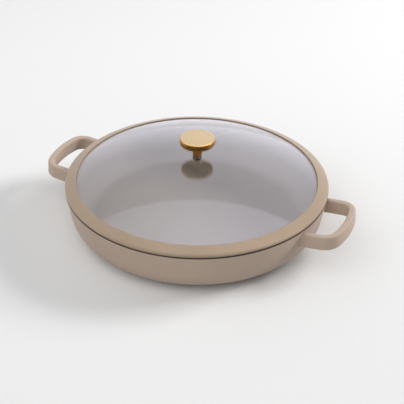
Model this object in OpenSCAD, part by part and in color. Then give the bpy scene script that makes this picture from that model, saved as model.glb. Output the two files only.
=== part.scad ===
// Saute pan with two loop handles and a domed glass lid.
// A drafted cast bowl stands on a perforated steel plate bonded into its base. Two loop handles plug
// onto cast stubs on the wall. The lid is a domed glass disc held in a moulded ring, with a turned knob
// screwed through its centre. Millimetres, +Z up, the origin on the table at the centre of the base,
// the handles along X.

/* [Bowl] */
// Outside diameter of the rim
rim_d = 320; // [300:1:330]
// Height of the rim above the table
pan_h = 56.4; // [52:0.2:75]
// Thickness of the wall, measured level
wall_t = 4; // [3:0.5:5]
// Thickness of the floor
floor_t = 4.8; // [4:0.2:6.4]
// Lean of the wall from upright, in degrees
wall_lean = 10; // [6:1:14]
// Outside radius between the wall and the base
heel_r = 32; // [26:1:34]
// Inside radius between the wall and the floor
well_r = 27; // [20:1:30]
// Rounding of the rim's two edges
rim_round = 1.2; // [0.6:0.2:1.4]

/* [Base plate] */
// Diameter of the steel plate
plate_d = 208; // [180:2:220]
// Thickness of the steel plate
plate_t = 1.6; // [1.2:0.2:2.4]
// How far the plate stands below the casting
plate_stand = 0.4; // [0.2:0.1:0.8]
// Clearance around the plate in its recess
plate_gap = 0.2; // [0.1:0.05:0.4]
// Diameter of each perforation
perforation_d = 6; // [4:0.5:8]
// Distance between rings of perforations
perforation_pitch = 17; // [15:1:20]
// Number of rings of perforations
perforation_rings = 5; // [3:1:5]

/* [Handles] */
// How far a handle would reach past the rim if it were level
handle_reach = 37.5; // [32:0.5:45]
// Width across a handle's two legs
handle_w = 88; // [78:1:96]
// Thickness of the bar, seen from above
bar_t = 8.2; // [6.6:0.2:9]
// Height of the bar
bar_h = 17.6; // [14:0.2:20]
// Rounding of the bar's edges
bar_round = 2.4; // [1.2:0.2:3]
// Drop from the rim to the top of the bar, where it leaves the stub
handle_drop = 4.2; // [4:0.2:8]
// Upward tilt of the handles, in degrees
handle_tilt = 5.5; // [0:0.5:8]
// Outer radius of the bar's long bow
bow_r = 122; // [100:2:180]
// Outer radius of the bar's corners
corner_r = 21; // [14:1:26]
// Length of the stub that shows outside the rim circle, at the leg's middle
stub_l = 2; // [1:0.2:4]
// Length of the tenon on each leg
tenon_l = 4; // [3:0.5:5]
// Shoulder around the tenon
tenon_shoulder = 2; // [1.5:0.1:2.4]
// Clearance around the tenon in its socket
tenon_gap = 0.1; // [0.05:0.05:0.2]

/* [Lid ring] */
// Height of the shadow gap between the ring and the rim
shadow_gap_h = 1.6; // [0.8:0.1:2]
// Depth of the shadow gap
shadow_gap_w = 1.6; // [1.2:0.1:2.2]
// Width of the ring's top face, from the side to the lip
ring_w = 13.8; // [12:0.1:15]
// Height above the shadow gap where the top face and the side would meet
ring_edge_h = 2.4; // [1.6:0.1:4]
// Rise of the top face from the side to the lip
ring_rise = 5.4; // [3:0.2:7]
// Radius of the ring's outer shoulder
shoulder_r = 5; // [3:0.5:6]
// Radius of the lip that closes on the glass
lip_r = 0.9; // [0.6:0.1:1.2]
// Depth of the skirt that drops inside the rim
skirt_h = 7; // [5:0.5:9]
// Thickness of the skirt
skirt_t = 3; // [2.4:0.2:3.4]
// Clearance between the skirt and the bowl's wall
skirt_gap = 1; // [0.6:0.1:1.6]
// How far the ring's lower lip stands back from its upper lip
lower_lip_set = 0.8; // [0.4:0.1:1.6]
// Thickness of the lower lip under the glass
lower_lip_t = 1.4; // [1:0.1:1.8]
// Rounding of the skirt's two lower edges
skirt_round = 0.7; // [0.3:0.1:1]
// Rounding of the lower lip's edge
lower_lip_round = 0.4; // [0.2:0.1:0.6]

/* [Lid glass] */
// Thickness of the glass
glass_t = 3.5; // [3:0.1:4]
// Rise of the dome from the lip to its top
dome_h = 28.5; // [18:0.5:34]
// How deep the glass reaches into the ring
glass_bite = 5; // [4:0.5:5.5]
// How far the glass lies below the top of the lip
glass_sink = 1.3; // [1:0.1:1.6]
// Clearance between the glass and its groove
glass_gap = 0.1; // [0.05:0.05:0.2]
// Diameter of the hole for the knob
glass_hole_d = 8; // [7.6:0.1:9]

/* [Knob] */
// Diameter of the knob's head
knob_d = 42.6; // [36:0.2:50]
// Thickness of the head
knob_t = 9; // [7:0.5:12]
// Rounding of the head's top edge
knob_top_round = 1.8; // [1:0.1:2.4]
// Rounding of the head's lower edge
knob_low_round = 3.4; // [2:0.2:4]
// Length of the stem between the head and the gasket
stem_h = 15; // [12:0.5:24]
// Diameter of the stem under the head
stem_top_d = 15; // [13:0.2:18]
// Diameter of the stem's foot
stem_foot_d = 10.4; // [9.6:0.2:12]
// Diameter of the screw's shank
screw_d = 5; // [4:0.5:5]
// Clearance of each hole that the screw passes through, on the radius
screw_gap = 0.2; // [0.1:0.05:0.3]
// Clearance of the shank in its tapped hole, on the radius
thread_gap = 0.05; // [0.02:0.01:0.1]
// Depth to which the screw enters the head
screw_bite = 5; // [4:0.5:5.5]
// Room past the end of the screw in its tapped hole
screw_room = 0.5; // [0.2:0.1:1]
// Diameter of the screw's head
screw_head_d = 9; // [8:0.2:10]
// Height of the screw's head
screw_head_h = 3; // [2.6:0.2:3.6]
// Rounding of the screw's head
screw_head_round = 1.8; // [1:0.1:2.2]
// Rounding of the head's edge on the washer
screw_edge_round = 0.2; // [0.1:0.1:0.4]
// Width of the cross recess's slots
recess_w = 1.3; // [1:0.1:1.6]
// Span of the cross recess
recess_span = 5; // [4:0.2:5.6]
// Depth of the cross recess
recess_depth = 1.8; // [1.2:0.1:2]

/* [Gaskets and washers] */
// Thickness of the gasket above the glass
top_gasket_t = 1; // [0.8:0.1:2]
// Diameter of the gasket below the glass
low_gasket_d = 11; // [10:0.5:16]
// Thickness of the gasket below the glass
low_gasket_t = 1; // [0.8:0.1:2]
// Clearance of the gasket's sleeve in the glass
sleeve_gap = 0.1; // [0.05:0.05:0.2]
// Diameter of the steel washer
washer_d = 10; // [9:0.5:15]
// Thickness of the steel washer
washer_t = 1; // [0.8:0.1:1.6]
// Diameter of the spring washer
spring_washer_d = 9.2; // [8.6:0.1:10]
// Thickness of the spring washer
spring_washer_t = 1.2; // [1:0.1:1.4]
// Width of the split in the spring washer
split_w = 1; // [0.8:0.1:1.4]

/* [Hidden] */
$fn = 96;
taupe = [0.66, 0.58, 0.50];
ring_taupe = [0.70, 0.62, 0.54];
gold = [0.83, 0.66, 0.36];
steel = [0.78, 0.78, 0.78];
silicone = [0.08, 0.08, 0.09];

// Bowl
rim_r = rim_d / 2;
rim_in_r = rim_r - wall_t;

// Radius of the wall's outer face, or of its inner face, at height z
function outer_r(z) = rim_r - (pan_h - z) * tan(wall_lean);
function inner_r(z) = rim_in_r - (pan_h - z) * tan(wall_lean);

// Handles: each bar is a leg, a corner, the bow, a corner and a leg, along its middle line
leg_y = (handle_w - bar_t) / 2;
bow_mid_r = bow_r - bar_t / 2;
bow_x = rim_r + handle_reach - bow_r;
corner_mid_r = corner_r - bar_t / 2;
corner_y = leg_y - corner_mid_r;
corner_x = bow_x + sqrt(pow(bow_mid_r - corner_mid_r, 2) - corner_y * corner_y);
bow_half = asin(corner_y / (bow_mid_r - corner_mid_r));
lap_angle = 0.4;
lap_step = 0.02;
bar_z = pan_h - handle_drop - bar_h / 2;
stub_x = sqrt(rim_r * rim_r - leg_y * leg_y) + stub_l;
stub_root_x = sqrt(pow(outer_r(bar_z - bar_h / 2), 2) - handle_w * handle_w / 4) - wall_t / 2;
tenon_w = bar_t - 2 * tenon_shoulder;
tenon_h = bar_h - 2 * tenon_shoulder;

// Lid ring
gap_top_z = pan_h + shadow_gap_h;
ring_edge_z = gap_top_z + ring_edge_h;
lip_top_z = ring_edge_z + ring_rise;
lip_in_r = rim_r - ring_w;
lower_lip_r = lip_in_r + lower_lip_set;
skirt_z = pan_h - skirt_h;
skirt_out_r = inner_r(skirt_z) - skirt_gap;
skirt_in_r = skirt_out_r - skirt_t;

// Glass: two concentric spheres cut at the edge radius
glass_r = lip_in_r + glass_bite;
glass_lip_z = lip_top_z - glass_sink;
dome_r = (lip_in_r * lip_in_r + dome_h * dome_h) / (2 * dome_h);
dome_top_z = glass_lip_z + dome_h;
dome_z = dome_top_z - dome_r;

// Rounds a height down, so that pieces stacked on it meet face to face
function hundredth(z) = floor(z * 100) / 100;

// Height of a sphere about the dome's centre, at radius r from the axis
function dome_at(sphere_r, r) = dome_z + sqrt(sphere_r * sphere_r - r * r);

// Knob stack, from the glass upwards and downwards
stem_z = dome_top_z + top_gasket_t;
knob_z = stem_z + stem_h;
low_gasket_top_z = hundredth(dome_at(dome_r - glass_t, low_gasket_d / 2));
washer_top_z = low_gasket_top_z - low_gasket_t;
spring_top_z = washer_top_z - washer_t;
screw_seat_z = spring_top_z - spring_washer_t;
sleeve_z = low_gasket_top_z + sleeve_gap;
screw_hole_d = screw_d + 2 * screw_gap;
cut = 1;
chord_lap = 0.05;

// A closed outline with each corner rounded by a true arc. Radius 0 keeps the corner sharp.
// The corners run anticlockwise.
module rounded_outline(corners, radii) {
    n = len(corners);
    function unit(v) = v / norm(v);
    function back(i) = unit(corners[(i + n - 1) % n] - corners[i]);
    function ahead(i) = unit(corners[(i + 1) % n] - corners[i]);
    function inward(i) = unit(back(i) + ahead(i));
    function half_angle(i) = acos(back(i) * ahead(i)) / 2;
    function tangent_l(i) = radii[i] / tan(half_angle(i));
    function arc_start(i) = corners[i] + back(i) * tangent_l(i);
    function arc_end(i) = corners[i] + ahead(i) * tangent_l(i);
    function turn(i) = back(i).y * ahead(i).x - back(i).x * ahead(i).y;
    // The part of the corner's circle between the corner and the chord, and a narrow lap past the chord
    module arc_part(i) intersection() {
        translate(corners[i] + inward(i) * radii[i] / sin(half_angle(i))) circle(radii[i]);
        polygon([arc_start(i), corners[i], arc_end(i), arc_end(i) + inward(i) * chord_lap,
            arc_start(i) + inward(i) * chord_lap]);
    }
    difference() {
        union() {
            polygon([for (i = [0 : n - 1]) each radii[i] == 0 ? [corners[i]] : [arc_start(i), arc_end(i)]]);
            for (i = [0 : n - 1])
                if (radii[i] > 0 && turn(i) > 0) arc_part(i);
        }
        for (i = [0 : n - 1])
            if (radii[i] > 0 && turn(i) < 0) arc_part(i);
    }
}

// Tilts a handle that lies along +X up from the level, about the outer ends of its stubs
module tilted() {
    translate([stub_x, 0, bar_z]) rotate([0, -handle_tilt, 0]) translate([-stub_x, 0, 0]) children();
}

// Places its children at the middle of each of the four legs, or of the two on the +X side
module at_each_leg(sides = [0, 180]) {
    for (side = sides, flip = [0, 1])
        rotate([0, 0, side]) tilted() mirror([0, flip, 0]) translate([0, leg_y, 0]) children();
}

// The upright section of the bar, centred, and smaller all round by inset
module bar_section(inset = 0) {
    half = [bar_t / 2 - inset, bar_h / 2 - inset];
    rounded_outline([-half, [half.x, -half.y], half, [-half.x, half.y]],
        [for (i = [0 : 3]) bar_round - inset]);
}

// A straight stretch of the bar along +X, centred on the X axis
module straight_bar(from_x, to_x) {
    translate([from_x, 0, 0]) rotate([90, 0, 90]) linear_extrude(to_x - from_x) bar_section();
}

// A bent stretch of the bar about the Z axis, from one angle to the other
module bent_bar(mid_r, from_angle, to_angle, inset = 0) {
    rotate([0, 0, from_angle]) rotate_extrude(angle = to_angle - from_angle)
        translate([mid_r, 0]) bar_section(inset);
}

// The block of a tenon, or of its socket when it is grown
module tenon(grow = 0) {
    translate([stub_x - tenon_l - grow, -tenon_w / 2 - grow, -tenon_h / 2 - grow])
        cube([tenon_l + cut + grow, tenon_w + 2 * grow, tenon_h + 2 * grow]);
}

module pan_body() color(taupe) difference() {
    union() {
        rotate_extrude() bowl_outline();
        difference() {
            at_each_leg() straight_bar(stub_root_x, stub_x);
            rotate_extrude() bowl_hollow();
        }
    }
    at_each_leg() tenon(tenon_gap);
    cylinder(r = plate_d / 2 + plate_gap, h = plate_t);
}

// Half section of the bowl
module bowl_outline() {
    rounded_outline([
        [0, plate_stand], [outer_r(plate_stand), plate_stand], [rim_r, pan_h], [rim_in_r, pan_h],
        [inner_r(floor_t), floor_t], [0, floor_t]],
        [0, heel_r, rim_round, rim_round, well_r, 0]);
}

// Half section of the room inside the bowl and the inner half of its wall, clear of the stubs
module bowl_hollow() {
    polygon([[0, floor_t], [inner_r(floor_t) + wall_t / 2, floor_t], [rim_in_r + wall_t / 2, pan_h],
        [0, pan_h]]);
}

module base_plate() color(steel) difference() {
    cylinder(r = plate_d / 2, h = plate_t);
    for (ring = [1 : perforation_rings], i = [0 : 6 * ring - 1])
        rotate([0, 0, 360 * (i + ring / 2) / (6 * ring)])
            translate([ring * perforation_pitch, 0, -cut]) cylinder(d = perforation_d, h = plate_t + 2 * cut);
}

// One loop handle on the +X side. Its corners are slimmer by lap_step and lap into the stretches
// beside them, which joins the bar without a shared face.
module handle() color(taupe) {
    at_each_leg([0]) {
        straight_bar(stub_x, corner_x);
        tenon();
        translate([corner_x, -corner_mid_r, 0])
            bent_bar(corner_mid_r, bow_half - lap_angle, 90 + lap_angle, lap_step);
    }
    tilted() translate([bow_x, 0, 0]) bent_bar(bow_mid_r, -bow_half, bow_half);
}

module handle_right() handle();

module handle_left() rotate([0, 0, 180]) handle();

// The domed disc of glass. Growing it on every side makes the groove that it fits.
module glass_disc(grow = 0) {
    intersection() {
        difference() {
            translate([0, 0, dome_z]) sphere(dome_r + grow);
            translate([0, 0, dome_z]) sphere(dome_r - glass_t - grow);
        }
        translate([0, 0, skirt_z]) cylinder(r = glass_r + grow, h = dome_top_z);
    }
}

module lid_glass() color([0.85, 0.88, 0.90], 0.4) difference() {
    glass_disc();
    translate([0, 0, skirt_z]) cylinder(d = glass_hole_d, h = dome_top_z);
}

module lid_ring() color(ring_taupe) difference() {
    rotate_extrude() difference() {
        ring_outline();
        translate([rim_r - shadow_gap_w, 0]) square([2 * shadow_gap_w, gap_top_z]);
    }
    glass_disc(glass_gap);
}

// Half section of the ring before its groove and the shadow gap are cut
module ring_outline() {
    groove_z = glass_lip_z - glass_t / 2;
    lower_z = dome_at(dome_r - glass_t, lower_lip_r) - lower_lip_t;
    rounded_outline([
        [skirt_in_r, skirt_z], [skirt_out_r, skirt_z], [skirt_out_r, pan_h],
        [rim_r - shadow_gap_w, pan_h], [rim_r - shadow_gap_w, skirt_z], [rim_r, skirt_z],
        [rim_r, ring_edge_z], [lip_in_r, lip_top_z], [lip_in_r, groove_z], [lower_lip_r, groove_z],
        [lower_lip_r, lower_z], [skirt_in_r, pan_h]],
        [skirt_round, skirt_round, 0, 0, 0, 0, shoulder_r, lip_r, 0, 0, lower_lip_round, 0]);
}

module knob_head() color(gold) difference() {
    translate([0, 0, knob_z]) rotate_extrude()
        rounded_outline([[0, 0], [knob_d / 2, 0], [knob_d / 2, knob_t], [0, knob_t]],
            [0, knob_low_round, knob_top_round, 0]);
    translate([0, 0, knob_z - cut])
        cylinder(r = screw_d / 2 + thread_gap, h = screw_bite + screw_room + cut);
}

module knob_stem() color(gold) difference() {
    translate([0, 0, stem_z]) cylinder(d1 = stem_foot_d, d2 = stem_top_d, h = stem_h);
    translate([0, 0, stem_z - cut]) cylinder(d = screw_hole_d, h = stem_h + 2 * cut);
}

// Flat gasket on the crown of the glass, with a sleeve that lines the hole
module top_gasket() color(silicone) difference() {
    union() {
        translate([0, 0, dome_top_z]) cylinder(d = stem_foot_d, h = top_gasket_t);
        translate([0, 0, sleeve_z]) cylinder(d = glass_hole_d - 2 * sleeve_gap, h = stem_z - sleeve_z);
    }
    translate([0, 0, sleeve_z - cut]) cylinder(d = screw_hole_d, h = stem_z - sleeve_z + 2 * cut);
}

// A flat ring with its top at top_z
module washer(top_z, outer_d, thickness) {
    translate([0, 0, top_z - thickness]) difference() {
        cylinder(d = outer_d, h = thickness);
        translate([0, 0, -cut]) cylinder(d = screw_hole_d, h = thickness + 2 * cut);
    }
}

module low_gasket() color(silicone) washer(low_gasket_top_z, low_gasket_d, low_gasket_t);

module steel_washer() color(steel) washer(washer_top_z, washer_d, washer_t);

module spring_washer() color(steel) difference() {
    washer(spring_top_z, spring_washer_d, spring_washer_t);
    translate([0, -split_w / 2, screw_seat_z - cut])
        cube([spring_washer_d, split_w, spring_washer_t + 2 * cut]);
}

module knob_screw() color(steel) difference() {
    union() {
        translate([0, 0, screw_seat_z - screw_head_h]) rotate_extrude()
            rounded_outline([[0, 0], [screw_head_d / 2, 0], [screw_head_d / 2, screw_head_h],
                [0, screw_head_h]], [0, screw_head_round, screw_edge_round, 0]);
        translate([0, 0, screw_seat_z - cut])
            cylinder(d = screw_d, h = knob_z + screw_bite - screw_seat_z + cut);
    }
    for (turn = [0, 90]) rotate([0, 0, turn])
        translate([-recess_span / 2, -recess_w / 2, screw_seat_z - screw_head_h - cut])
            cube([recess_span, recess_w, recess_depth + cut]);
}

pan_body();
base_plate();
handle_left();
handle_right();
lid_glass();
lid_ring();
knob_head();
knob_stem();
top_gasket();
low_gasket();
steel_washer();
spring_washer();
knob_screw();
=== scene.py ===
import math

import bmesh
import bpy
from mathutils import Matrix, Vector


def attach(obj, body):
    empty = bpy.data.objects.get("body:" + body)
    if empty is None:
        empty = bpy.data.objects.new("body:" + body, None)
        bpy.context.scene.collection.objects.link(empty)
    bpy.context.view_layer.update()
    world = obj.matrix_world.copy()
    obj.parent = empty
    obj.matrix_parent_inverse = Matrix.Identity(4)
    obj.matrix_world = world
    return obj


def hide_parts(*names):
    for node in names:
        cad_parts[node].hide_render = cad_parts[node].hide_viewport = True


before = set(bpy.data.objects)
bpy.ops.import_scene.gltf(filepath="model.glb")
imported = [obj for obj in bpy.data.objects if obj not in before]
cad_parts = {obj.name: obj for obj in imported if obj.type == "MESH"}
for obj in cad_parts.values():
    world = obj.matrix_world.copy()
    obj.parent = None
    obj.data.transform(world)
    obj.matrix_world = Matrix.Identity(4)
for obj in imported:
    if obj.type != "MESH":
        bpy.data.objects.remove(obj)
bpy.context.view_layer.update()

scene = bpy.context.scene
scene.view_settings.view_transform = "Standard"
mm = 0.001
print("frame loaded:", len(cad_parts), "nodes")

# camera
camera = {
    "turn": 24.5,           # degrees round the pan, from its plain side towards the right handle
    "pitch": 33.05,         # degrees down
    "roll": 0.92,           # degrees
    "distance": 1300,       # mm from the aim point
    "aim": (7.2, 0, 26.1),  # mm, before the turn
    "lens": 93.74,          # mm
    "sensor": 36,           # mm wide
    "shift": 0.5 / 404,     # half a pixel
    "clipStart": 0.05,      # m
}


def placeCamera():
    pitch, turn, roll = (math.radians(camera[key]) for key in ("pitch", "turn", "roll"))
    right = Vector((1, 0, 0))
    forward = Vector((0, math.cos(pitch), -math.sin(pitch)))
    up = right.cross(forward)
    rolledRight = right * math.cos(roll) + up * math.sin(roll)
    rolledUp = up * math.cos(roll) - right * math.sin(roll)
    place = (Vector(camera["aim"]) - forward * camera["distance"]) * mm
    axes = Matrix((rolledRight, rolledUp, -forward)).transposed().to_4x4()
    data = bpy.data.cameras.new("camera")
    data.lens = camera["lens"]
    data.sensor_width = camera["sensor"]
    data.shift_x = -camera["shift"]
    data.shift_y = camera["shift"]
    data.clip_start = camera["clipStart"]
    thing = bpy.data.objects.new("camera", data)
    scene.collection.objects.link(thing)
    thing.matrix_world = Matrix.Rotation(turn, 4, "Z") @ Matrix.Translation(place) @ axes
    scene.camera = thing


placeCamera()
print("camera placed")

# mesh helpers
mergeDistance = 1e-6    # m
tinyLength = 1e-7       # m
sharpAngle = 32         # degrees: an edge that turns more stays crisp


def pick(items, kind):
    return [item for item in items if isinstance(item, kind)]


def roundCorners(bm, verts, reach, steps):
    bmesh.ops.bevel(bm, geom=verts, offset=reach, offset_type="OFFSET", segments=steps,
                    profile=0.5, affect="VERTICES", material=-1)


def spin(bm, geom, centre, axis, angle, steps, fullTurn=False):
    return bmesh.ops.spin(bm, geom=geom, cent=centre, axis=axis, dvec=(0, 0, 0), angle=angle, steps=steps,
                          use_merge=fullTurn, use_normal_flip=False, use_duplicate=False)["geom_last"]


# corners are (radius, height, rounding) in mm
def drawSection(bm, corners, closed=True, arcSteps=10):
    points = [Vector((radius, 0, height)) * mm for radius, height, _ in corners]
    verts = [bm.verts.new(point) for point in points]
    count = len(verts)
    for i in range(count if closed else count - 1):
        bm.edges.new((verts[i], verts[(i + 1) % count]))
    for i, (_, _, rounding) in enumerate(corners):
        if rounding:
            before = (points[i - 1] - points[i]).normalized()
            after = (points[(i + 1) % count] - points[i]).normalized()
            reach = rounding * mm / math.tan(before.angle(after) / 2)
            roundCorners(bm, [verts[i]], reach, arcSteps)


def spinRound(bm, steps):
    spin(bm, bm.verts[:] + bm.edges[:], (0, 0, 0), (0, 0, 1), math.tau, steps, fullTurn=True)
    bmesh.ops.remove_doubles(bm, verts=bm.verts, dist=mergeDistance)
    bmesh.ops.dissolve_degenerate(bm, edges=bm.edges, dist=tinyLength)


def makePiece(name, bm, material, body):
    bmesh.ops.remove_doubles(bm, verts=bm.verts, dist=mergeDistance)
    bmesh.ops.recalc_face_normals(bm, faces=bm.faces)
    for face in bm.faces:
        face.smooth = True
    for edge in bm.edges:
        edge.smooth = not (len(edge.link_faces) == 2
                           and edge.calc_face_angle() > math.radians(sharpAngle))
    mesh = bpy.data.meshes.new(name)
    bm.to_mesh(mesh)
    bm.free()
    piece = bpy.data.objects.new(name, mesh)
    scene.collection.objects.link(piece)
    mesh.materials.append(material)
    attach(piece, body)
    return piece


# node helpers
noiseLow, noiseHigh = 0.3, 0.7    # nearly all of a noise lies between these


def newGroup(name, inputs, outputs):
    tree = bpy.data.node_groups.new(name, "ShaderNodeTree")
    for label, kind in inputs:
        tree.interface.new_socket(label, in_out="INPUT", socket_type=kind)
    for label, kind in outputs:
        tree.interface.new_socket(label, in_out="OUTPUT", socket_type=kind)
    return tree, tree.nodes.new("NodeGroupInput"), tree.nodes.new("NodeGroupOutput")


def setInput(tree, socket, value):
    if isinstance(value, (int, float)):
        socket.default_value = value
    else:
        tree.links.new(value, socket)


def noise(tree, vector, scale, detail, roughness=0.5):
    node = tree.nodes.new("ShaderNodeTexNoise")
    node.inputs["Detail"].default_value = detail
    node.inputs["Roughness"].default_value = roughness
    tree.links.new(vector, node.inputs["Vector"])
    tree.links.new(scale, node.inputs["Scale"])
    return node.outputs["Fac"]


def addMath(tree, operation, first, second, clamp=False):
    node = tree.nodes.new("ShaderNodeMath")
    node.operation = operation
    node.use_clamp = clamp
    setInput(tree, node.inputs[0], first)
    setInput(tree, node.inputs[1], second)
    return node.outputs["Value"]


def blend(tree, value, limits, low, high):
    node = tree.nodes.new("ShaderNodeMapRange")
    node.interpolation_type = "SMOOTHSTEP"
    for label, number in zip(("From Min", "From Max", "To Min", "To Max"), (*limits, low, high)):
        setInput(tree, node.inputs[label], number)
    tree.links.new(value, node.inputs["Value"])
    return node.outputs["Result"]


def mixShaders(tree, factor, first, second):
    mix = tree.nodes.new("ShaderNodeMixShader")
    for i, output in enumerate((factor, first, second)):
        tree.links.new(output, mix.inputs[i])
    return mix.outputs["Shader"]


# soft clouds of colour and a fine grain, for coats and rubber
def buildMottle():
    tree, entry, leave = newGroup(
        "mottle",
        [("Vector", "NodeSocketVector"),
         ("Cloud Scale", "NodeSocketFloat"), ("Grain Scale", "NodeSocketFloat")],
        [("Cloud", "NodeSocketFloat"), ("Grain", "NodeSocketFloat")])
    for label, detail in (("Cloud", 3), ("Grain", 2)):
        made = noise(tree, entry.outputs["Vector"], entry.outputs[label + " Scale"], detail)
        tree.links.new(made, leave.inputs[label])
    return tree


# fine rings round the upright axis, as a lathe leaves them
def buildTurnedMarks():
    tree, entry, leave = newGroup(
        "turnedMarks",
        [("Vector", "NodeSocketVector"), ("Ring Scale", "NodeSocketFloat")],
        [("Marks", "NodeSocketFloat")])
    split = tree.nodes.new("ShaderNodeSeparateXYZ")
    tree.links.new(entry.outputs["Vector"], split.inputs["Vector"])
    flat = tree.nodes.new("ShaderNodeCombineXYZ")
    tree.links.new(split.outputs["X"], flat.inputs["X"])
    tree.links.new(split.outputs["Y"], flat.inputs["Y"])
    radius = tree.nodes.new("ShaderNodeVectorMath")
    radius.operation = "LENGTH"
    tree.links.new(flat.outputs["Vector"], radius.inputs[0])
    place = tree.nodes.new("ShaderNodeCombineXYZ")
    tree.links.new(radius.outputs["Value"], place.inputs["X"])
    tree.links.new(split.outputs["Z"], place.inputs["Z"])
    marks = noise(tree, place.outputs["Vector"], entry.outputs["Ring Scale"], detail=4, roughness=0.7)
    tree.links.new(marks, leave.inputs["Marks"])
    return tree


mottle = buildMottle()
turnedMarks = buildTurnedMarks()

# finishes: clouds, grain and rings are noise scales, rough is a range, depth is the bump in mm
finishes = {
    "taupeCoat": {
        "dark": (0.405, 0.314, 0.244), "light": (0.435, 0.338, 0.264), "rough": (0.48, 0.58),
        "clouds": 14, "grain": 900, "depth": 0.01, "specular": 0.35},
    "insideCoat": {
        "dark": (0.24, 0.205, 0.166), "light": (0.262, 0.222, 0.18), "rough": (0.36, 0.46),
        "clouds": 11, "grain": 900, "depth": 0.004, "specular": 0.5},
    # painted shade: a near-black colour on the rim's top and outer edge, under the ring, darkens the seam
    "paintedSeamShade": {
        "dark": (0.045, 0.038, 0.032), "light": (0.06, 0.05, 0.043), "rough": (0.6, 0.75),
        "clouds": 30, "grain": 1500, "depth": 0.01, "specular": 0.5},
    "ringSilicone": {
        "dark": (0.31, 0.231, 0.157), "light": (0.34, 0.256, 0.176), "rough": (0.34, 0.44),
        "clouds": 18, "grain": 1200, "depth": 0.01, "specular": 0.35},
    "blackSilicone": {
        "dark": (0.012, 0.012, 0.013), "light": (0.020, 0.019, 0.019), "rough": (0.6, 0.75),
        "clouds": 60, "grain": 1500, "depth": 0.01, "specular": 0.2},
    "goldMetal": {
        "dark": (0.36, 0.185, 0.045), "light": (0.43, 0.225, 0.06), "rough": (0.16, 0.26),
        "rings": 2600, "depth": 0.004},
    # painted highlight: a paler, lit copy of the knob's gold for its top face
    "paintedLitGold": {
        "dark": (0.44, 0.34, 0.185), "light": (0.48, 0.37, 0.205), "rough": (0.24, 0.34),
        "rings": 2600, "depth": 0.004},
    "baseSteel": {
        "dark": (0.50, 0.50, 0.50), "light": (0.62, 0.62, 0.61), "rough": (0.28, 0.42),
        "rings": 700, "depth": 0.01},
    "fastenerSteel": {
        "dark": (0.48, 0.48, 0.48), "light": (0.60, 0.60, 0.59), "rough": (0.25, 0.38),
        "rings": 3000, "depth": 0.005},
}
glassLook = {
    "colour": (0.96, 0.965, 0.975), "specularTint": (0.92, 0.94, 1.0), "ior": 1.5,
    "rough": (0, 0.03), "clouds": 9,
    "lightColour": (0.93, 0.935, 0.945),    # what light keeps on its way through
}


def newMaterial(name):
    material = bpy.data.materials.new(name)
    material.use_nodes = True
    tree = material.node_tree
    shader = tree.nodes["Principled BSDF"]
    where = tree.nodes.new("ShaderNodeTexCoord").outputs["Object"]
    return material, tree, shader, where


def useGroup(tree, group, where, values):
    node = tree.nodes.new("ShaderNodeGroup")
    node.node_tree = group
    tree.links.new(where, node.inputs["Vector"])
    for label, value in values.items():
        node.inputs[label].default_value = value
    return node


def spread(tree, value, low, high):
    node = tree.nodes.new("ShaderNodeMapRange")
    node.inputs["From Min"].default_value = noiseLow
    node.inputs["From Max"].default_value = noiseHigh
    node.inputs["To Min"].default_value = low
    node.inputs["To Max"].default_value = high
    tree.links.new(value, node.inputs["Value"])
    return node.outputs["Result"]


def colourRamp(tree, value, first, last, limits=(0, 1)):
    ramp = tree.nodes.new("ShaderNodeValToRGB")
    for element, position, colour in zip(ramp.color_ramp.elements, limits, (first, last)):
        element.position = position
        element.color = (*colour, 1)
    tree.links.new(value, ramp.inputs["Fac"])
    return ramp.outputs["Color"]


def bump(tree, height, depth):
    node = tree.nodes.new("ShaderNodeBump")
    node.inputs["Distance"].default_value = depth * mm
    node.inputs["Strength"].default_value = 1
    tree.links.new(height, node.inputs["Height"])
    return node.outputs["Normal"]


def dressShader(tree, shader, look, tone, grain):
    colour = colourRamp(tree, tone, look["dark"], look["light"], (noiseLow, noiseHigh))
    tree.links.new(colour, shader.inputs["Base Color"])
    tree.links.new(spread(tree, grain, *look["rough"]), shader.inputs["Roughness"])
    tree.links.new(bump(tree, grain, look["depth"]), shader.inputs["Normal"])


def mottledMaterial(name):
    look = finishes[name]
    material, tree, shader, where = newMaterial(name)
    group = useGroup(tree, mottle, where, {"Cloud Scale": look["clouds"], "Grain Scale": look["grain"]})
    dressShader(tree, shader, look, group.outputs["Cloud"], group.outputs["Grain"])
    shader.inputs["Specular IOR Level"].default_value = look["specular"]
    return material


def turnedMaterial(name):
    look = finishes[name]
    material, tree, shader, where = newMaterial(name)
    marks = useGroup(tree, turnedMarks, where, {"Ring Scale": look["rings"]}).outputs["Marks"]
    dressShader(tree, shader, look, marks, marks)
    shader.inputs["Metallic"].default_value = 1
    return material


def buildGlass():
    material, tree, shader, where = newMaterial("clearGlass")
    group = useGroup(tree, mottle, where, {"Cloud Scale": glassLook["clouds"]})
    haze = spread(tree, group.outputs["Cloud"], *glassLook["rough"])
    tree.links.new(haze, shader.inputs["Roughness"])
    shader.inputs["Base Color"].default_value = (*glassLook["colour"], 1)
    shader.inputs["Transmission Weight"].default_value = 1
    shader.inputs["IOR"].default_value = glassLook["ior"]
    shader.inputs["Specular Tint"].default_value = (*glassLook["specularTint"], 1)
    clear = tree.nodes.new("ShaderNodeBsdfTransparent")    # lets lamps and soft light into the pan
    clear.inputs["Color"].default_value = (*glassLook["lightColour"], 1)
    path = tree.nodes.new("ShaderNodeLightPath").outputs
    passing = addMath(tree, "MAXIMUM", path["Is Shadow Ray"], path["Is Diffuse Ray"])
    surface = mixShaders(tree, passing, shader.outputs["BSDF"], clear.outputs["BSDF"])
    tree.links.new(surface, tree.nodes["Material Output"].inputs["Surface"])
    return material


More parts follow.
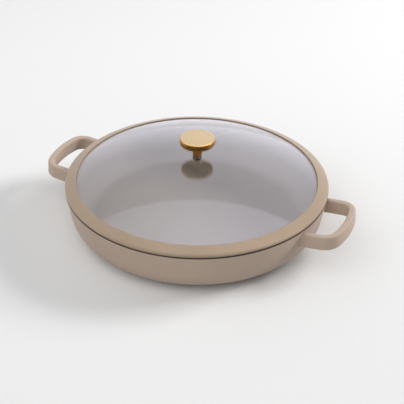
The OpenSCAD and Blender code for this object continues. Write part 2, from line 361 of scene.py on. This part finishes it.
taupeCoat = mottledMaterial("taupeCoat")
insideCoat = mottledMaterial("insideCoat")
paintedSeamShade = mottledMaterial("paintedSeamShade")
ringSilicone = mottledMaterial("ringSilicone")
blackSilicone = mottledMaterial("blackSilicone")
goldMetal = turnedMaterial("goldMetal")
paintedLitGold = turnedMaterial("paintedLitGold")
baseSteel = turnedMaterial("baseSteel")
fastenerSteel = turnedMaterial("fastenerSteel")
clearGlass = buildGlass()
print("materials made")

# bowl, in mm and degrees
bowl = {
    "rimRadius": 160, "rimHeight": 56.4, "wall": 4, "floor": 4.8, "lean": 10,
    "heelRound": 32, "wellRound": 27, "rimRound": 1.2, "arcSteps": 14, "spinSteps": 256,
    "recessRadius": 104.2, "recessHeight": 1.6, "recessRound": 0.3, "underside": 0.4,
    "seamShadeDepth": 0.9,     # how far down the painted seam shade on the rim's top and edge goes
    "floorSlack": 0.1,    # takes in the faces of the well's floor
}
# handles, in mm and degrees: each bar's two legs end on short stubs that stand out of the bowl
handle = {
    "reach": 37.5, "width": 88, "bar": 8.2, "height": 17.6, "edgeRound": 2.4, "drop": 4.2,
    "bowRadius": 122, "cornerRadius": 21, "stub": 2, "tilt": 5.5, "stubDepth": 12,
    "edgeSteps": 6, "cornerSteps": 14, "bowSteps": 24,
}


def wallRadius(z, inside=False):
    top = bowl["rimRadius"] - (bowl["wall"] if inside else 0)
    return top - (bowl["rimHeight"] - z) * math.tan(math.radians(bowl["lean"]))


legY = (handle["width"] - handle["bar"]) / 2
barHeight = bowl["rimHeight"] - handle["drop"] - handle["height"] / 2
stubEnd = math.sqrt(bowl["rimRadius"] ** 2 - legY ** 2) + handle["stub"]


# the bar's rounded section, standing across the bar at x
def drawBar(bm, x, y):
    halfWidth, halfHeight = handle["bar"] / 2 * mm, handle["height"] / 2 * mm
    verts = [bm.verts.new((x * mm, y * mm + side * halfWidth, barHeight * mm + rise * halfHeight))
             for side, rise in ((-1, -1), (1, -1), (1, 1), (-1, 1))]
    for i in range(4):
        bm.edges.new((verts[i], verts[(i + 1) % 4]))
    roundCorners(bm, verts, handle["edgeRound"] * mm, handle["edgeSteps"])
    return [edge for edge in bm.edges if edge.is_wire]


def stretchBar(bm, loop, x):
    grown = bmesh.ops.extrude_edge_only(bm, edges=loop)["geom"]
    for vert in pick(grown, bmesh.types.BMVert):
        vert.co.x = x * mm
    return [edge for edge in pick(grown, bmesh.types.BMEdge)
            if all(abs(vert.co.x - x * mm) < tinyLength for vert in edge.verts)]


def bendBar(bm, loop, centre, degrees, steps):
    verts = list(dict.fromkeys(vert for edge in loop for vert in edge.verts))
    last = spin(bm, verts + loop, Vector(centre) * mm, (0, 0, 1), math.radians(degrees), steps)
    return pick(last, bmesh.types.BMEdge)


def closeEnds(bm):
    bmesh.ops.holes_fill(bm, edges=[edge for edge in bm.edges if edge.is_boundary], sides=0)


# side is 1 for the right handle and -1 for the left one
def tiltHandle(bm, verts, side):
    bmesh.ops.rotate(bm, verts=verts, cent=(stubEnd * mm, 0, barHeight * mm),
                     matrix=Matrix.Rotation(math.radians(-handle["tilt"]), 3, "Y"))
    if side < 0:
        bmesh.ops.rotate(bm, verts=verts, cent=(0, 0, 0), matrix=Matrix.Rotation(math.pi, 3, "Z"))


def addStub(bm, side, flip):
    before = set(bm.verts)
    loop = stretchBar(bm, drawBar(bm, stubEnd, flip * legY), stubEnd - handle["stubDepth"])
    inner = {vert for edge in loop for vert in edge.verts}
    closeEnds(bm)
    tiltHandle(bm, [vert for vert in bm.verts if vert not in before], side)
    for vert in inner:    # the end stops halfway through the wall
        middle = wallRadius(vert.co.z / mm) - bowl["wall"] / 2
        vert.co.x = side * math.sqrt((middle * mm) ** 2 - vert.co.y ** 2)


def coatBowl(mesh):
    mesh.materials.append(insideCoat)
    mesh.materials.append(paintedSeamShade)
    for face in mesh.polygons:
        x, y, z = face.center / mm
        radius = math.hypot(x, y)
        inWell = radius < wallRadius(z) - bowl["wall"] / 2 and z > bowl["floor"] - bowl["floorSlack"]
        if inWell and face.normal.z > 0:
            face.material_index = 1
        # the rim's top and outer edge under the ring get the painted seam shade
        elif z > bowl["rimHeight"] - bowl["seamShadeDepth"] and radius < bowl["rimRadius"]:
            face.material_index = 2


def buildBowl():
    bm = bmesh.new()
    drawSection(bm, [
        (0, bowl["recessHeight"], 0), (bowl["recessRadius"], bowl["recessHeight"], 0),
        (bowl["recessRadius"], bowl["underside"], bowl["recessRound"]),
        (wallRadius(bowl["underside"]), bowl["underside"], bowl["heelRound"]),
        (bowl["rimRadius"], bowl["rimHeight"], bowl["rimRound"]),
        (bowl["rimRadius"] - bowl["wall"], bowl["rimHeight"], bowl["rimRound"]),
        (wallRadius(bowl["floor"], True), bowl["floor"], bowl["wellRound"]),
        (0, bowl["floor"], 0)], closed=False, arcSteps=bowl["arcSteps"])
    spinRound(bm, bowl["spinSteps"])
    for side in (1, -1):
        for flip in (1, -1):
            addStub(bm, side, flip)
    piece = makePiece("bowl", bm, taupeCoat, "pan")
    coatBowl(piece.data)
    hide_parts("pan_body")


# leg, corner, bow, corner and leg, in one run of the bar
def buildHandle(name, side, node):
    bm = bmesh.new()
    bowMiddle = handle["bowRadius"] - handle["bar"] / 2
    bowX = bowl["rimRadius"] + handle["reach"] - handle["bowRadius"]
    cornerMiddle = handle["cornerRadius"] - handle["bar"] / 2
    cornerY = legY - cornerMiddle
    cornerX = bowX + math.sqrt((bowMiddle - cornerMiddle) ** 2 - cornerY ** 2)
    bowHalf = math.degrees(math.asin(cornerY / (bowMiddle - cornerMiddle)))
    loop = drawBar(bm, stubEnd, legY)
    loop = stretchBar(bm, loop, cornerX)
    loop = bendBar(bm, loop, (cornerX, cornerY, 0), bowHalf - 90, handle["cornerSteps"])
    loop = bendBar(bm, loop, (bowX, 0, 0), -2 * bowHalf, handle["bowSteps"])
    loop = bendBar(bm, loop, (cornerX, -cornerY, 0), bowHalf - 90, handle["cornerSteps"])
    stretchBar(bm, loop, stubEnd)
    closeEnds(bm)
    tiltHandle(bm, bm.verts[:], side)
    piece = makePiece(name, bm, taupeCoat, "pan")
    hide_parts(node)


buildBowl()
buildHandle("loopRight", 1, "handle_right")
buildHandle("loopLeft", -1, "handle_left")
print("bowl and handles built")

# lid ring, in mm
ring = {
    "lipRadius": 146.2, "lipHeight": 65.8, "lipRound": 0.9, "edgeHeight": 60.4, "shoulderRound": 5,
    "gapRadius": 158.4, "gapTop": 58, "gapRound": 0.4,
    "skirtBottom": 49.4, "skirtOut": 153.766, "skirtThickness": 3, "skirtRound": 0.7,
    "lowerLipRadius": 147, "lowerLip": 1.4, "lowerLipRound": 0.4,
    "grooveRadius": 151.3, "grooveGap": 0.1, "spinSteps": 256,
}
# glass dome, in mm
dome = {
    "sphereRadius": 389.24, "top": 93, "thickness": 3.5, "edgeRadius": 151.2, "holeRadius": 4,
    "arcSteps": 64, "spinSteps": 256,
}
domeCentre = dome["top"] - dome["sphereRadius"]


def domeHeight(sphereRadius, radius):
    return domeCentre + math.sqrt(sphereRadius ** 2 - radius ** 2)


def buildRing():
    over = dome["sphereRadius"] + ring["grooveGap"]
    under = dome["sphereRadius"] - dome["thickness"] - ring["grooveGap"]
    skirtIn = ring["skirtOut"] - ring["skirtThickness"]
    lowerLipTop = domeHeight(under, ring["lowerLipRadius"])
    bm = bmesh.new()
    drawSection(bm, [
        (skirtIn, ring["skirtBottom"], ring["skirtRound"]),
        (ring["skirtOut"], ring["skirtBottom"], ring["skirtRound"]),
        (ring["skirtOut"], bowl["rimHeight"], 0), (ring["gapRadius"], bowl["rimHeight"], 0),
        (ring["gapRadius"], ring["gapTop"], 0), (bowl["rimRadius"], ring["gapTop"], ring["gapRound"]),
        (bowl["rimRadius"], ring["edgeHeight"], ring["shoulderRound"]),
        (ring["lipRadius"], ring["lipHeight"], ring["lipRound"]),
        (ring["lipRadius"], domeHeight(over, ring["lipRadius"]), 0),
        (ring["grooveRadius"], domeHeight(over, ring["grooveRadius"]), 0),
        (ring["grooveRadius"], domeHeight(under, ring["grooveRadius"]), 0),
        (ring["lowerLipRadius"], lowerLipTop, 0),
        (ring["lowerLipRadius"], lowerLipTop - ring["lowerLip"], ring["lowerLipRound"]),
        (skirtIn, bowl["rimHeight"], 0)])
    spinRound(bm, ring["spinSteps"])
    piece = makePiece("lidRing", bm, ringSilicone, "lid")
    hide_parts("lid_ring")


def drawArc(bm, sphereRadius, fromRadius, toRadius, steps):
    start = bm.verts.new(Vector((fromRadius, 0, domeHeight(sphereRadius, fromRadius))) * mm)
    angle = math.asin(toRadius / sphereRadius) - math.asin(fromRadius / sphereRadius)
    last = spin(bm, [start], (0, 0, domeCentre * mm), (0, 1, 0), angle, steps)
    return start, pick(last, bmesh.types.BMVert)[0]


def buildDome():
    bm = bmesh.new()
    ends = [drawArc(bm, radius, dome["holeRadius"], dome["edgeRadius"], dome["arcSteps"])
            for radius in (dome["sphereRadius"], dome["sphereRadius"] - dome["thickness"])]
    bm.edges.new((ends[0][0], ends[1][0]))
    bm.edges.new((ends[0][1], ends[1][1]))
    spinRound(bm, dome["spinSteps"])
    piece = makePiece("lidGlass", bm, clearGlass, "lid")
    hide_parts("lid_glass")


buildRing()
buildDome()
print("lid built")

# knob, in mm: a disc on a stem, with a black foot on the glass
knobHead = {
    "bottom": 109, "radius": 21.3, "height": 9, "topRound": 1.8, "lowRound": 3.4,
    "tappedHole": 2.55, "tappedDepth": 5.5, "spinSteps": 128,
    "litTopDepth": 1, "litTopUp": 0.9,    # faces this near the top that point up this much get the paler gold, a painted highlight: a lit copy of the same gold
}
knobStem = {"lowRadius": 5.2, "topRadius": 7.5, "lowRound": 0.4, "screwHole": 2.7, "spinSteps": 96}
knobFoot = {
    "top": 94, "edgeRound": 0.3, "sleeveRadius": 3.9, "sleeveBottom": 89.56, "sleeveRound": 0.2,
    "spinSteps": 96,
}


def buildKnobHead():
    bottom, top = knobHead["bottom"], knobHead["bottom"] + knobHead["height"]
    holeTop = bottom + knobHead["tappedDepth"]
    bm = bmesh.new()
    drawSection(bm, [
        (0, holeTop, 0), (knobHead["tappedHole"], holeTop, 0), (knobHead["tappedHole"], bottom, 0),
        (knobHead["radius"], bottom, knobHead["lowRound"]),
        (knobHead["radius"], top, knobHead["topRound"]), (0, top, 0)], closed=False)
    spinRound(bm, knobHead["spinSteps"])
    head = makePiece("knobHead", bm, goldMetal, "lid")
    head.data.materials.append(paintedLitGold)
    # the top face gets the paler gold as a painted highlight
    for face in head.data.polygons:
        if face.normal.z > knobHead["litTopUp"] and face.center.z > (top - knobHead["litTopDepth"]) * mm:
            face.material_index = 1
    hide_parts("knob_head")


def buildKnobStem():
    bm = bmesh.new()
    drawSection(bm, [
        (knobStem["screwHole"], knobFoot["top"], 0),
        (knobStem["lowRadius"], knobFoot["top"], knobStem["lowRound"]),
        (knobStem["topRadius"], knobHead["bottom"], 0),
        (knobStem["screwHole"], knobHead["bottom"], 0)])
    spinRound(bm, knobStem["spinSteps"])
    stem = makePiece("knobStem", bm, goldMetal, "lid")
    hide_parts("knob_stem")


def buildKnobFoot():
    bm = bmesh.new()
    drawSection(bm, [
        (knobStem["screwHole"], knobFoot["sleeveBottom"], 0),
        (knobFoot["sleeveRadius"], knobFoot["sleeveBottom"], knobFoot["sleeveRound"]),
        (knobFoot["sleeveRadius"], dome["top"], 0),
        (knobStem["lowRadius"], dome["top"], knobFoot["edgeRound"]),
        (knobStem["lowRadius"], knobFoot["top"], knobFoot["edgeRound"]),
        (knobStem["screwHole"], knobFoot["top"], 0)])
    spinRound(bm, knobFoot["spinSteps"])
    foot = makePiece("knobFoot", bm, blackSilicone, "lid")
    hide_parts("top_gasket")


buildKnobHead()
buildKnobStem()
buildKnobFoot()
print("knob built")

# carried-over nodes
carried = {
    "base_plate": baseSteel, "low_gasket": blackSilicone, "steel_washer": fastenerSteel,
    "spring_washer": fastenerSteel, "knob_screw": fastenerSteel,
}
for name, material in carried.items():
    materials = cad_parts[name].data.materials
    if len(materials):
        for i in range(len(materials)):
            materials[i] = material
    else:
        materials.append(material)
print("carried-over nodes dressed")

# studio, in metres, squared up with the camera: x runs left to right and y front to back
paperFloor = {
    "size": 6, "drop": 0.0002, "rough": 0.9, "specular": 0.1,
    # the floor's colour is painted darker towards the front: painted light falloff
    "front": (0.73, 0.73, 0.73), "back": (0.86, 0.86, 0.86), "fade": (-0.45, 0.6),
    # painted reflection: glass and metal see the floor glow at these strengths, not its lit colour
    "paintedGlowFront": 0.4, "paintedGlowBack": 1.35, "paintedGlowFade": (-0.2, 0.3),
}
softLight = {
    "left": 0.86, "right": 0.15, "fade": (-0.7, 0.7),
    "background": 0.88,    # what shows past the floor's edge
}
lamps = {
    "overhead": {"place": (-0.45, -0.75, 1.25), "aim": (0, 0, 0.05), "size": (1.8, 1.5), "watts": 9},
    "sideKey": {"place": (3.75, 1.3, 2.1), "aim": (0, 0, 0.03), "size": (1.8, 1.3), "watts": 180},
}
# what glass and metal mirror: strengths, and the limits where one fades into the next
mirroredRoom = {
    "left": 0.71, "right": 1.02, "acrossFade": (-0.6, 0.6),
    "wallLow": 1.75, "wallMiddle": 1.8, "wallHigh": 1.75, "lowFade": (0.05, 0.3), "highFade": (0.4, 0.8),
    "front": 0.3, "frontFade": (-0.25, 0.15),
    "frontPanel": 2.5, "frontPanelStart": (-1.5, -1.2), "frontPanelEnd": (-0.8, -0.6),
    "softboxLow": 2.7, "softboxTop": 3.9, "softboxFade": (-0.1, 0.64),
    "softboxStart": (-0.38, -0.22), "softboxEnd": (0.6, 0.68),
    "leastHeight": 0.02,    # keeps the slopes that place the panels finite
}
mirroredColour = (0.98, 0.965, 1.06)    # a little cool
white = (1, 1, 1)


def turnedAxes(tree, vector):
    turn = tree.nodes.new("ShaderNodeMapping")
    turn.inputs["Rotation"].default_value = (0, 0, -math.radians(camera["turn"]))
    tree.links.new(vector, turn.inputs["Vector"])
    split = tree.nodes.new("ShaderNodeSeparateXYZ")
    tree.links.new(turn.outputs["Vector"], split.inputs["Vector"])
    return split.outputs["X"], split.outputs["Y"], split.outputs["Z"]


def buildFloor():
    bm = bmesh.new()
    bmesh.ops.create_grid(bm, x_segments=1, y_segments=1, size=paperFloor["size"])
    mesh = bpy.data.meshes.new("floor")
    bm.to_mesh(mesh)
    bm.free()
    floor = bpy.data.objects.new("floor", mesh)
    scene.collection.objects.link(floor)
    floor.location.z = -paperFloor["drop"]
    material, tree, shader, where = newMaterial("floorPaper")
    _, along, _ = turnedAxes(tree, where)
    # painted light falloff: the floor's colour darkens towards the front
    distance = blend(tree, along, paperFloor["fade"], 0, 1)
    colour = colourRamp(tree, distance, paperFloor["front"], paperFloor["back"])
    tree.links.new(colour, shader.inputs["Base Color"])
    shader.inputs["Roughness"].default_value = paperFloor["rough"]
    shader.inputs["Specular IOR Level"].default_value = paperFloor["specular"]
    # painted reflection: for glossy rays the floor glows, brighter towards the back, in place of its lit
    # colour
    seen = tree.nodes.new("ShaderNodeEmission")
    seen.inputs["Color"].default_value = (*mirroredColour, 1)
    strength = blend(tree, along, paperFloor["paintedGlowFade"], paperFloor["paintedGlowFront"],
                     paperFloor["paintedGlowBack"])
    tree.links.new(strength, seen.inputs["Strength"])
    path = tree.nodes.new("ShaderNodeLightPath").outputs    # a ray through the glass counts as glossy too
    bounced = addMath(tree, "SUBTRACT", path["Is Glossy Ray"], path["Is Transmission Ray"], clamp=True)
    surface = mixShaders(tree, bounced, shader.outputs["BSDF"], seen.outputs["Emission"])
    tree.links.new(surface, tree.nodes["Material Output"].inputs["Surface"])
    mesh.materials.append(material)


# a panel's slope is how far back it lies for its height
def mirrorStrength(tree, across, along, height):
    look = mirroredRoom
    low = blend(tree, height, look["lowFade"], look["wallLow"], look["wallMiddle"])
    wall = blend(tree, height, look["highFade"], low, look["wallHigh"])
    room = blend(tree, along, look["frontFade"], look["front"], wall)
    slope = addMath(tree, "DIVIDE", along, addMath(tree, "MAXIMUM", height, look["leastHeight"]))
    frontPanel = addMath(tree, "MULTIPLY", blend(tree, slope, look["frontPanelStart"], 0, 1),
                         blend(tree, slope, look["frontPanelEnd"], 1, 0))
    room = blend(tree, frontPanel, (0, 1), room, look["frontPanel"])
    softbox = addMath(tree, "MULTIPLY", blend(tree, slope, look["softboxEnd"], 1, 0),
                      blend(tree, slope, look["softboxStart"], 0, 1))
    glow = blend(tree, slope, look["softboxFade"], look["softboxTop"], look["softboxLow"])
    room = blend(tree, softbox, (0, 1), room, glow)
    return addMath(tree, "MULTIPLY", room,
                   blend(tree, across, look["acrossFade"], look["left"], look["right"]))


def buildWorld():
    world = bpy.data.worlds.new("studio")
    scene.world = world
    world.use_nodes = True
    tree = world.node_tree
    across, along, height = turnedAxes(tree, tree.nodes.new("ShaderNodeTexCoord").outputs["Generated"])
    light = tree.nodes["Background"]
    seen = tree.nodes.new("ShaderNodeBackground")
    plain = tree.nodes.new("ShaderNodeBackground")
    fill = blend(tree, across, softLight["fade"], softLight["left"], softLight["right"])
    panels = mirrorStrength(tree, across, along, height)
    for node, colour, strength in ((light, white, fill), (seen, mirroredColour, panels),
                                   (plain, white, softLight["background"])):
        node.inputs["Color"].default_value = (*colour, 1)
        setInput(tree, node.inputs["Strength"], strength)
    path = tree.nodes.new("ShaderNodeLightPath").outputs
    bounced = addMath(tree, "MAXIMUM", path["Is Glossy Ray"], path["Is Transmission Ray"])
    lit = mixShaders(tree, bounced, light.outputs["Background"], seen.outputs["Background"])
    surface = mixShaders(tree, path["Is Camera Ray"], lit, plain.outputs["Background"])
    tree.links.new(surface, tree.nodes["World Output"].inputs["Surface"])


def addLamp(name):
    lamp = lamps[name]
    data = bpy.data.lights.new(name, "AREA")
    data.shape = "RECTANGLE"
    data.size, data.size_y = lamp["size"]
    data.energy = lamp["watts"]
    thing = bpy.data.objects.new(name, data)
    scene.collection.objects.link(thing)
    turn = Matrix.Rotation(math.radians(camera["turn"]), 3, "Z")
    place, aim = turn @ Vector(lamp["place"]), turn @ Vector(lamp["aim"])
    thing.location = place
    thing.rotation_euler = (aim - place).to_track_quat("-Z", "Y").to_euler()
    thing.visible_glossy = False    # glass and metal mirror the panels instead
    thing.visible_transmission = False


buildFloor()
buildWorld()
for name in lamps:
    addLamp(name)
print("studio set")
